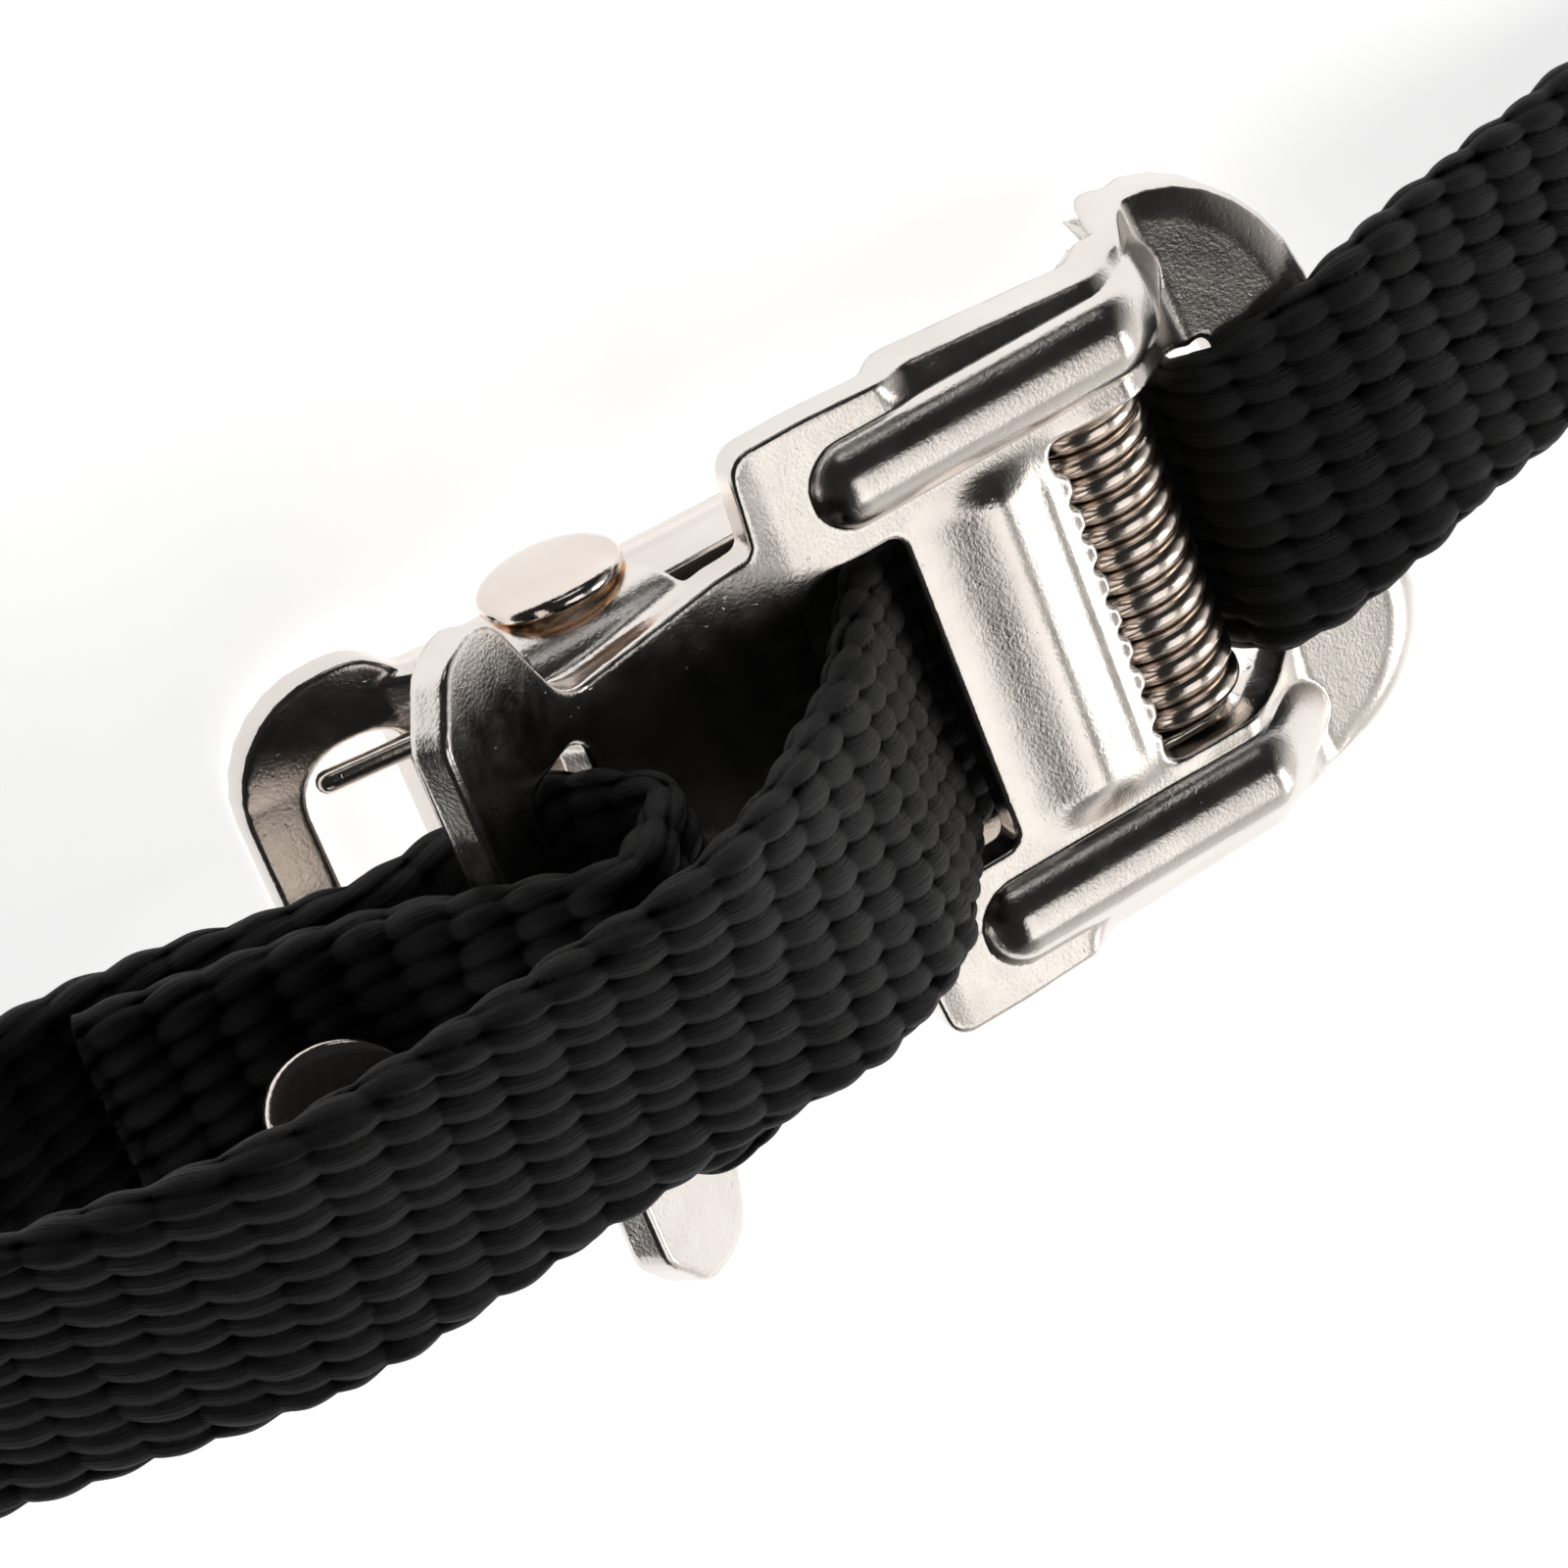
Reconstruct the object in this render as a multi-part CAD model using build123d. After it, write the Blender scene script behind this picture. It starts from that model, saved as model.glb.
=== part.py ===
from build123d import *
import math
import os

# Strap buckle slider: a stamped top plate and a sprung clamp lever hinged under it, on narrow webbing.
# Millimetres. While it is being built, x = 0 is the window's right edge, y = 0 the plane of symmetry
# and z = 0 the upper face of the flat part of the top plate. At the end everything is moved so that
# the origin is the middle of the base of the whole part's box.

# Driving dimensions
SHEET = 1.2              # stamped steel
WIRE = 0.72              # spring wire
WIRE_PITCH = 0.78        # one turn of either coil
WEB_WIDTH = 9.8          # webbing
WEB_THICK = 1.5
RUN_CLEAR = 0.05         # radial clearance of a pin in the part that turns on it

# Top plate
BODY_HALF = 9.7          # half width at the notch
WAIST_HALF = 9.0         # half width beside the roller
LOOP_HALF = 9.3          # half width of the end loop
NECK_HALF = 6.9          # half width between the ears
LIP_HALF = 10.4
PLATE_END = 14.9         # outer edge of the end bar
END_BAR_INNER = 11.5
END_BAR_TOP = -2.2
NOTCH_X = -4.3
LIP_FOOT_X = -9.6        # where the plate starts to turn up
LIP_TIP = (-15.5, 4.4)   # upper face at the lip's free edge
WINDOW = (-3.5, 0.0, 5.25)        # from x, to x, half width
SLOT = (-13.5, -10.9, 5.25)
ROLLER_GAP_HALF = 5.4    # half width of the opening that the roller sits in
TOOTH_ROOT = 5.05
TOOTH_TIP = 5.4
TOOTH_PITCH = 2.14
TEETH = 4
CROSS_RIB = (2.6, 3.2, 0.75, 8.6)  # middle x, width, height, length
ARM_RIB = (6.7, 3.4, 1.0)          # middle y, width, height
ARM_RIB_X = (-1.6, 8.3)
EAR_INNER = 6.45
EAR_HALF = 2.1           # half width of an ear at the hinge pin

# Clamp lever
WALL_INNER = 5.3
WALL_OUTER = 6.4
RING_HALF = 7.5
RING_LEFT = -18.8
RING_HOLE = (-17.1, -13.5, 5.0)
FLOOR_KNEE_X = -13.0     # the ring slopes down from here
FLOOR_END_X = -2.6

# Pins, (x, z) of each axis
HINGE = (-9.0, -3.0)
HINGE_R = 0.75
HINGE_HEAD_R = 2.15
ROLLER = (7.0, -2.55)
ROLLER_PIN_R = 1.22
ROLLER_HEAD_R = 1.65
COIL_R = 2.0             # outside radius of the roller coil
ROLLER_TURNS = 12.5
SPRING_R = 1.6           # outside radius of the torsion spring
HEAD_DOME = 0.85

# Torsion spring legs: slope below and above the horizontal, and length
LONG_LEG_SLOPE = 12.3
LONG_LEG = 7.8
SHORT_LEG_SLOPE = 8.0
SHORT_LEG = 3.0
FULL_TURNS = 11          # the coil also turns from one leg's direction to the other's

# Webbing, as the corners of its middle line in x and z with the radius of each corner
FIXED_MIDDLE_Y = -0.2
FIXED_PATH = [
    (-38.0, -3.5), (-28.0, -2.6), (-24.5, -2.0), (-18.2, 1.0), (-12.4, 0.55), (-10.2, 4.6),
    (-13.0, 7.75), (-19.3, 2.4), (-26.5, -0.6),
]
FIXED_RADII = [6.0, 5.0, 3.0, 1.3, 1.3, 1.15, 5.0]
STRAP_RIVET_X = -21.0
STRAP_RIVET_HEAD_R = 2.3
STRAP_RIVET_POST_R = 1.0
STRAP_RIVET_GRIP = 2.75  # from the middle of the upper layer to the washer
WASHER_R = 1.9
WASHER_THICK = 0.4
TAIL_END_X = 37.5        # free end of the running strap, lying on the base


def extruded(face, width, middle=0.0):
    """A face drawn in x and z, widened along y about middle."""
    return Pos(0, middle, 0) * extrude(Plane.XZ * face, width / 2, both=True)


def strip(points, radii, thickness):
    """A band of even thickness along a filleted run of points, as a face."""
    return trace(FilletPolyline(*points, radius=radii), line_width=thickness)


def mirrored_outline(upper, radii):
    """A closed outline, from its upper half listed left to right."""
    lower = [(x, -y) for x, y in reversed(upper)]
    return make_face(FilletPolyline(*upper, *lower, radius=radii + radii[::-1], close=True))


def plan_cut(x0, x1, half, radius):
    """A rounded rectangular hole through everything, seen from above."""
    hole = RectangleRounded(x1 - x0, 2 * half, radius)
    return Pos((x0 + x1) / 2, 0, -20) * extrude(hole, 40)


def pin(axis, radius, half_length):
    """A plain pin across the part."""
    return Pos(axis[0], 0, axis[1]) * Rot(90, 0, 0) * Cylinder(radius, 2 * half_length)


def domed_cap(radius):
    """A shallow domed rivet head standing on z = 0."""
    rim = 0.3
    bulge = HEAD_DOME - rim
    ball = (radius**2 + bulge**2) / (2 * bulge)
    upward = (Align.CENTER, Align.CENTER, Align.MIN)
    dome = Pos(0, 0, rim + bulge - ball) * Sphere(ball)
    keep = Pos(0, 0, rim) * Cylinder(radius, bulge, align=upward)
    return Cylinder(radius, rim, align=upward) + (dome & keep)


def riveted_pin(axis, radius, half_length, head_radius):
    """A pin across the part with a domed head clinched on both ends."""
    rivet = pin(axis, radius, half_length)
    for side in (1, -1):
        rivet += Pos(axis[0], side * half_length, axis[1]) * Rot(-90 * side, 0, 0) * domed_cap(head_radius)
    return rivet


def half_round(length, width, height):
    """A half-round ridge along x, its chord on z = 0, with rounded ends."""
    ball = (width**2 / 4 + height**2) / (2 * height)
    sunk = Pos(0, 0, height - ball)
    run = length - width
    ridge = sunk * Rot(0, 90, 0) * Cylinder(ball, run)
    for end in (-run / 2, run / 2):
        ridge += Pos(end, 0, 0) * sunk * Sphere(ball)
    keep = Box(2 * length, 2 * width, height, align=(Align.CENTER, Align.CENTER, Align.MIN))
    return ridge & keep


def embossed(plate, place, length, width, height):
    """The plate with a half-round ridge pressed up out of it, hollow underneath."""
    plate += place * half_round(length, width, height)
    return plate - place * Pos(0, 0, -SHEET) * half_round(length - 0.3, width - 0.3, height)


def plate_blank():
    """The plate's side profile, cut to its outline from above."""
    z = -SHEET / 2
    slope = math.atan2(LIP_TIP[1], LIP_FOOT_X - LIP_TIP[0])
    tip = (LIP_TIP[0] - SHEET / 2 * math.sin(slope), LIP_TIP[1] - SHEET / 2 * math.cos(slope))
    profile = strip(
        [tip, (LIP_FOOT_X, z), (8.6, z), (10.5, END_BAR_TOP + z), (PLATE_END + 0.2, END_BAR_TOP + z)],
        [3.0, 1.2, 1.2],
        SHEET,
    )
    outline = mirrored_outline(
        [
            (-16.3, 9.0),
            (-14.6, LIP_HALF),
            (-12.2, LIP_HALF),
            (-11.0, NECK_HALF - 0.4),
            (NOTCH_X, NECK_HALF),
            (NOTCH_X, BODY_HALF),
            (8.6, WAIST_HALF),
            (10.2, LOOP_HALF),
            (PLATE_END, LOOP_HALF - 0.2),
        ],
        [1.2, 1.0, 0.9, 0.8, 0.25, 0.9, 1.2, 1.0, 4.4],
    )
    return extruded(profile, 2 * LIP_HALF + 2) & Pos(0, 0, -20) * extrude(outline, 40)


def roller_opening():
    """The opening that the roller and the strap use, with the serrated edge on its left."""
    points = []
    for i in range(TEETH):
        y = (i - (TEETH - 1) / 2) * TOOTH_PITCH
        points += [(TOOTH_ROOT, y - TOOTH_PITCH / 2), (TOOTH_TIP, y - 0.35), (TOOTH_TIP, y + 0.35)]
    points += [(TOOTH_ROOT, TEETH / 2 * TOOTH_PITCH), (TOOTH_ROOT, ROLLER_GAP_HALF)]
    points += [(END_BAR_INNER, ROLLER_GAP_HALF), (END_BAR_INNER, -ROLLER_GAP_HALF)]
    points += [(TOOTH_ROOT, -ROLLER_GAP_HALF)]
    return Pos(0, 0, -20) * extrude(make_face(Polyline(*points, close=True)), 40)


def ear(side):
    """One ear, folded down from the plate round the end of the hinge pin."""
    x, z = HINGE
    outer = EAR_INNER + SHEET
    blade = Polyline((x - EAR_HALF, 0), (x + EAR_HALF + 0.7, 0), (x + EAR_HALF + 0.5, -1.2),
                     (x + EAR_HALF, z), (x - EAR_HALF, z), close=True)
    face = make_face(blade) + Pos(x, z) * Circle(EAR_HALF)
    solid = extruded(face, SHEET, EAR_INNER + SHEET / 2)
    crown = [e for e in solid.edges().filter_by(Axis.X)
             if abs(e.center().Y - outer) < 0.01 and abs(e.center().Z) < 0.01]
    solid = fillet(crown, SHEET - 0.05)
    return solid if side > 0 else mirror(solid, about=Plane.XZ)


def top_plate():
    plate = plate_blank()
    for side in (1, -1):
        plate += ear(side)
    plate -= plan_cut(*WINDOW, 0.9)
    plate -= plan_cut(*SLOT, 0.6)
    x, width, height, length = CROSS_RIB
    plate = embossed(plate, Pos(x, 0, 0) * Rot(0, 0, 90), length, width, height)
    y, width, height = ARM_RIB
    x0, x1 = ARM_RIB_X
    for side in (1, -1):
        plate = embossed(plate, Pos((x0 + x1) / 2, side * y, 0), x1 - x0, width, height)
    plate -= roller_opening()
    return plate - pin(HINGE, HINGE_R, 12)


def lever_side():
    """The side wall's outline: a lobe round each pin and a low waist between them."""
    x, z = HINGE
    lobe = 1.55
    hub = 1.45
    wall = Polyline(
        (-13.3, -6.7), (-13.3, -5.7), (-11.6, -4.6), (x - lobe, z), (x + lobe, z), (-6.2, -3.0),
        (3.5, -2.6), (ROLLER[0] - hub, ROLLER[1]), (ROLLER[0] + hub, ROLLER[1]), (7.6, -4.1),
        (4.2, -5.1), close=True)
    return make_face(wall) + Pos(x, z) * Circle(lobe) + Pos(*ROLLER) * Circle(hub)


def clamp_lever():
    profile = strip([(RING_LEFT, -7.5), (FLOOR_KNEE_X, -6.2), (FLOOR_END_X, -5.33)], [3.0], SHEET)
    outline = mirrored_outline(
        [(RING_LEFT, RING_HALF), (-13.8, RING_HALF), (-13.2, WALL_OUTER), (FLOOR_END_X + 1, WALL_OUTER)],
        [3.4, 0.9, 0.5, 0.2])
    lever = extruded(profile, 2 * RING_HALF + 2) & Pos(0, 0, -20) * extrude(outline, 40)
    thick = WALL_OUTER - WALL_INNER
    middle = (WALL_OUTER + WALL_INNER) / 2
    for side in (1, -1):
        lever += extruded(lever_side(), thick, side * middle)
    lever -= plan_cut(*RING_HOLE, 1.2)
    lever -= pin(HINGE, HINGE_R + RUN_CLEAR, 12)
    return lever - pin(ROLLER, ROLLER_PIN_R, 12)


def coil(axis, outside, turns, start=0.0):
    """A close-wound coil across the part, centred on y = 0; it starts at +y, at the angle start."""
    length = turns * WIRE_PITCH
    path = Helix(pitch=WIRE_PITCH, height=length, radius=outside - WIRE / 2)
    section = Plane(path @ 0, z_dir=path % 0) * Circle(WIRE / 2)
    wound = Pos(0, 0, -length / 2) * sweep(section, path=path, is_frenet=True)
    return Pos(axis[0], 0, axis[1]) * Rot(90, 0, 0) * Rot(0, 0, start) * wound


def torsion_spring():
    """One length of wire: a leg on the lever's floor, the coil, and a short leg under the plate."""
    start = LONG_LEG_SLOPE - 90
    end = 90 - SHORT_LEG_SLOPE
    turns = FULL_TURNS + (end - start) / 360
    length = turns * WIRE_PITCH
    wound = Helix(pitch=WIRE_PITCH, height=length, radius=SPRING_R - WIRE / 2)
    long_leg = Line(wound @ 0 - (wound % 0) * LONG_LEG, wound @ 0)
    short_leg = Line(wound @ 1, wound @ 1 + (wound % 1) * SHORT_LEG)
    path = Wire([long_leg.edge(), wound.edge(), short_leg.edge()])
    spring = sweep(Plane(path @ 0, z_dir=path % 0) * Circle(WIRE / 2), path=path, is_frenet=True)
    place = Pos(HINGE[0], 0, HINGE[1]) * Rot(90, 0, 0) * Rot(0, 0, start)
    return place * Pos(0, 0, -length / 2) * spring


def webbing(path, radii, middle):
    """A flat strap along a run of points in x and z."""
    return extruded(strip(path, radii, WEB_THICK), WEB_WIDTH, middle)


def running_path(base):
    """Corners and radii of the running strap's middle line; its free end lies on the base."""
    x, z = ROLLER
    wrap = COIL_R + WEB_THICK / 2 + 0.08
    over_bar = END_BAR_TOP + WEB_THICK / 2 + 0.15
    under_plate = -SHEET - WEB_THICK / 2 - 0.05
    foot = z - wrap
    lead = (-0.55, under_plate)
    gap = math.hypot(x - lead[0], z - lead[1])
    rise = math.asin(wrap / gap) - math.atan2(z - lead[1], x - lead[0])
    drop = (lead[1] - foot) / math.tan(rise)
    flat = base + WEB_THICK / 2
    path = [
        (TAIL_END_X, flat), (TAIL_END_X - 3.0, flat), (26.0, -4.4), (15.6, over_bar),
        (x + wrap, over_bar), (x + wrap, foot), (lead[0] + drop, foot), lead,
        (-4.9, 5.1), (-8.9, 8.0), (-12.6, 9.3), (-18.0, 9.6),
        (-25.6, 10.0), (-41.0, 3.7),
    ]
    radii = [5.0, 6.0, 4.0, 1.2, wrap - 0.02, wrap - 0.02, 1.2, 6.0, 5.0, 5.0, 6.0, 5.0]
    return path, radii


def rivet_frame():
    """The strap rivet's own frame: origin in the middle of the upper layer, z square to it."""
    (x0, z0), (x1, z1) = FIXED_PATH[-2:]
    slope = math.atan2(z0 - z1, x0 - x1)
    z = z1 + (STRAP_RIVET_X - x1) * math.tan(slope)
    return Pos(STRAP_RIVET_X, FIXED_MIDDLE_Y, z) * Rot(0, -math.degrees(slope), 0)


def downward(radius, length):
    """A cylinder that hangs from z = 0."""
    return Cylinder(radius, length, align=(Align.CENTER, Align.CENTER, Align.MAX))


def strap_rivet():
    """A domed cap, its post through both layers and the clinched end under the washer."""
    top = WEB_THICK / 2
    end = STRAP_RIVET_GRIP + WASHER_THICK
    rivet = Pos(0, 0, top + 0.18) * domed_cap(STRAP_RIVET_HEAD_R)
    rivet += Pos(0, 0, top + 0.2) * downward(STRAP_RIVET_POST_R, top + end + 0.4)
    return rivet + Pos(0, 0, -end - 0.02) * downward(STRAP_RIVET_POST_R + 0.4, 0.35)


def washer():
    ring = downward(WASHER_R, WASHER_THICK) - downward(STRAP_RIVET_POST_R + 0.03, WASHER_THICK)
    return Pos(0, 0, -STRAP_RIVET_GRIP) * ring


def fixed_strap():
    hole = rivet_frame() * Cylinder(STRAP_RIVET_POST_R + 0.01, 12)
    return webbing(FIXED_PATH, FIXED_RADII, FIXED_MIDDLE_Y) - hole


def build_nodes():
    """Every piece under its node name, all in the drawing's frame."""
    lever = clamp_lever()
    base = lever.bounding_box().min.Z
    return {
        "top_plate": top_plate(),
        "clamp_lever": lever,
        "hinge_pin": riveted_pin(HINGE, HINGE_R, EAR_INNER + SHEET, HINGE_HEAD_R),
        "torsion_spring": torsion_spring(),
        "roller_pin": riveted_pin(ROLLER, ROLLER_PIN_R, WALL_OUTER, ROLLER_HEAD_R),
        "coil_roller": coil(ROLLER, COIL_R, ROLLER_TURNS),
        "running_strap": webbing(*running_path(base), 0.0),
        "fixed_strap": fixed_strap(),
        "strap_rivet": rivet_frame() * strap_rivet(),
        "strap_rivet_washer": rivet_frame() * washer(),
    }


def base_centre(shapes):
    """The middle of the underside of the box round all the shapes."""
    boxes = [shape.bounding_box() for shape in shapes]
    x = (min(b.min.X for b in boxes) + max(b.max.X for b in boxes)) / 2
    y = (min(b.min.Y for b in boxes) + max(b.max.Y for b in boxes)) / 2
    return Vector(x, y, min(b.min.Z for b in boxes))


nodes = build_nodes()
to_base = Pos(-base_centre(nodes.values()))
os.makedirs("parts", exist_ok=True)
for name, shape in nodes.items():
    export_step(to_base * shape, f"parts/{name}.step")
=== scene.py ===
import math
import bpy
import numpy as np
from mathutils import Matrix, Vector


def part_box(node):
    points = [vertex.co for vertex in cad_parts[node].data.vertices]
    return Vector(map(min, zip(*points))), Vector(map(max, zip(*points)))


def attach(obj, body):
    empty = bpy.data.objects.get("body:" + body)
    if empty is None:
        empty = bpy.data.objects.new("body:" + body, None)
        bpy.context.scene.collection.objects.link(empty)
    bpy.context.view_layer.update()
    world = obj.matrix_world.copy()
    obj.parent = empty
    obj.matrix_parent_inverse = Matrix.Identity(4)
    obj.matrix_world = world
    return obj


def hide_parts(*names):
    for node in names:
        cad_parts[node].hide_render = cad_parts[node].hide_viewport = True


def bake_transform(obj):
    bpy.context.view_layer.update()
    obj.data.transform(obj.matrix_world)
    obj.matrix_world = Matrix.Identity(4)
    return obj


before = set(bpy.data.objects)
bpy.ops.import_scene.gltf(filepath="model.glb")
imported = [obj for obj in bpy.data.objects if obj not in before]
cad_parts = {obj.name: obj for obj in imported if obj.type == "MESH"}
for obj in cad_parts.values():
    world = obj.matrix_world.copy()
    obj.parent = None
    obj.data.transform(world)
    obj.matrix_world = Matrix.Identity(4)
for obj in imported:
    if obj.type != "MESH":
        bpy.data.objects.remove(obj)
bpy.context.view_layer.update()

# Everything below is drawn in millimetres in the drawing frame of the CAD: x = 0 is the window's right
# edge, y = 0 the middle plane and z = 0 the upper face of the flat part of the top plate.
PLATE_END = 14.9         # outer edge of the plate's end bar
LEVER_BASE = -8.0855     # underside of the lever's ring
plate_box = [np.array(corner) * 1000 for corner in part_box("top_plate")]
lever_box = [np.array(corner) * 1000 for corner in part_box("clamp_lever")]
ORIGIN = np.array([plate_box[1][0] - PLATE_END, 0.0, lever_box[0][2] - LEVER_BASE])

SHEET = 1.2
WIRE = 0.72
WIRE_PITCH = 0.78
COIL_R = 2.0             # outside radius of the roller coil
COIL_TURNS = 12.5
SPRING_R = 1.6           # outside radius of the torsion spring
SPRING_TURNS = 11        # the coil also turns from one leg's direction to the other's
LONG_LEG = 7.8
SHORT_LEG = 3.0
HINGE_HOLE_R = 0.8
ROLLER_HOLE_R = 1.22
HINGE = np.array([-9.0, -3.0])
ROLLER = np.array([7.0, -2.55])
WEB_WIDTH = 9.8
WEB_THICK = 1.5


def to_row(points):
    """Drawing-frame millimetres to row-frame metres."""
    return (np.asarray(points, float) + ORIGIN) / 1000


def new_mesh(name, verts, quads, material, body):
    """A smooth mesh of quads that rides a body, or is left unattached when no body is given."""
    mesh = bpy.data.meshes.new(name)
    mesh.vertices.add(len(verts))
    mesh.vertices.foreach_set("co", to_row(verts).astype(np.float32).ravel())
    mesh.loops.add(len(quads) * 4)
    mesh.loops.foreach_set("vertex_index", np.asarray(quads, np.int32).ravel())
    mesh.polygons.add(len(quads))
    mesh.polygons.foreach_set("loop_start", np.arange(0, len(quads) * 4, 4, dtype=np.int32))
    mesh.polygons.foreach_set("loop_total", np.full(len(quads), 4, np.int32))
    mesh.polygons.foreach_set("use_smooth", np.ones(len(quads), bool))
    mesh.update(calc_edges=True)
    mesh.materials.append(material)
    obj = bpy.data.objects.new(name, mesh)
    bpy.context.scene.collection.objects.link(obj)
    if body:
        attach(obj, body)
    return obj


# ---- solids from distance functions ----

def smooth_min(a, b, r):
    h = np.clip(0.5 + 0.5 * (b - a) / r, 0, 1)
    return b + (a - b) * h - r * h * (1 - h)


def round_max(a, b, r):
    """Intersection of two distances with its convex edge rounded to radius r."""
    return np.minimum(np.maximum(a, b), -r) + np.hypot(np.maximum(a + r, 0), np.maximum(b + r, 0))


def smoothstep(x, lo, hi):
    t = np.clip((x - lo) / (hi - lo), 0, 1)
    return t * t * (3 - 2 * t)


def filleted(corners):
    """A closed outline from (x, y, radius) corners, its arcs divided into short runs."""
    pts = [np.array(c[:2], float) for c in corners]
    out = []
    for i, c in enumerate(corners):
        p, a, b = pts[i], pts[i - 1], pts[(i + 1) % len(pts)]
        u, v = (a - p) / np.linalg.norm(a - p), (b - p) / np.linalg.norm(b - p)
        half = math.acos(float(np.clip(u @ v, -1, 1))) / 2
        if c[2] <= 0 or half > 1.55:
            out.append(p)
            continue
        cut = c[2] / math.tan(half)
        centre = p + (u + v) / np.linalg.norm(u + v) * c[2] / math.sin(half)
        s, e = p + u * cut - centre, p + v * cut - centre
        a0, a1 = math.atan2(s[1], s[0]), math.atan2(e[1], e[0])
        turn = (a1 - a0 + math.pi) % (2 * math.pi) - math.pi
        n = max(2, int(abs(turn) / 0.2))
        for k in range(n + 1):
            t = a0 + turn * k / n
            out.append(centre + c[2] * np.array([math.cos(t), math.sin(t)]))
    return np.array(out)


def outline_distance(poly, x, y):
    """Signed distance to a closed outline, negative inside."""
    shape = np.broadcast(x, y).shape
    best = np.full(shape, 1e9)
    inside = np.zeros(shape, bool)
    for a, b in zip(poly, np.roll(poly, -1, 0)):
        ex, ey = b - a
        wx, wy = x - a[0], y - a[1]
        t = np.clip((wx * ex + wy * ey) / (ex * ex + ey * ey + 1e-12), 0, 1)
        best = np.minimum(best, (wx - ex * t) ** 2 + (wy - ey * t) ** 2)
        crosses = ((a[1] <= y) & (b[1] > y)) | ((a[1] > y) & (b[1] <= y))
        side = (b[0] - a[0]) * (y - a[1]) - (x - a[0]) * (b[1] - a[1])
        inside ^= crosses & ((side > 0) == (b[1] > a[1]))
    return np.where(inside, -1, 1) * np.sqrt(best)


TABLE_STEP = 0.06


def outline_field(outline, holes=()):
    """Signed distance to a flat outline less its holes, looked up in a fine table."""
    lo, hi = outline.min(0) - 2, outline.max(0) + 2
    gx, gy = (np.arange(lo[i], hi[i], TABLE_STEP) for i in (0, 1))
    table = outline_distance(outline, gx[:, None], gy[None, :])
    for hole in holes:
        table = np.maximum(table, -outline_distance(hole, gx[:, None], gy[None, :]))

    def lookup(x, y):
        x, y = np.broadcast_arrays(x, y)
        u = np.clip((x - gx[0]) / TABLE_STEP, 0, len(gx) - 1.001)
        v = np.clip((y - gy[0]) / TABLE_STEP, 0, len(gy) - 1.001)
        i, j = u.astype(int), v.astype(int)
        u, v = u - i, v - j
        near = table[i, j] * (1 - u) + table[i + 1, j] * u
        far = table[i, j + 1] * (1 - u) + table[i + 1, j + 1] * u
        return near * (1 - v) + far * v

    return lookup


def sampled(distance, axes, step):
    """The distance on a grid, evaluated finely only near the surface and coarsely elsewhere."""
    jump = 4
    coarse = [a[::jump] for a in axes]
    rough = distance(coarse[0][:, None, None], coarse[1][None, :, None], coarse[2][None, None, :])
    rough = np.broadcast_to(rough, [len(a) for a in coarse]).astype(np.float32)
    vals = rough.repeat(jump, 0).repeat(jump, 1).repeat(jump, 2)[tuple(slice(len(a)) for a in axes)].copy()
    near = np.argwhere(np.abs(vals) < jump * step * 1.9)
    x, y, z = (axes[i][near[:, i]] for i in range(3))
    vals[tuple(near.T)] = distance(x, y, z)
    return vals


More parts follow.
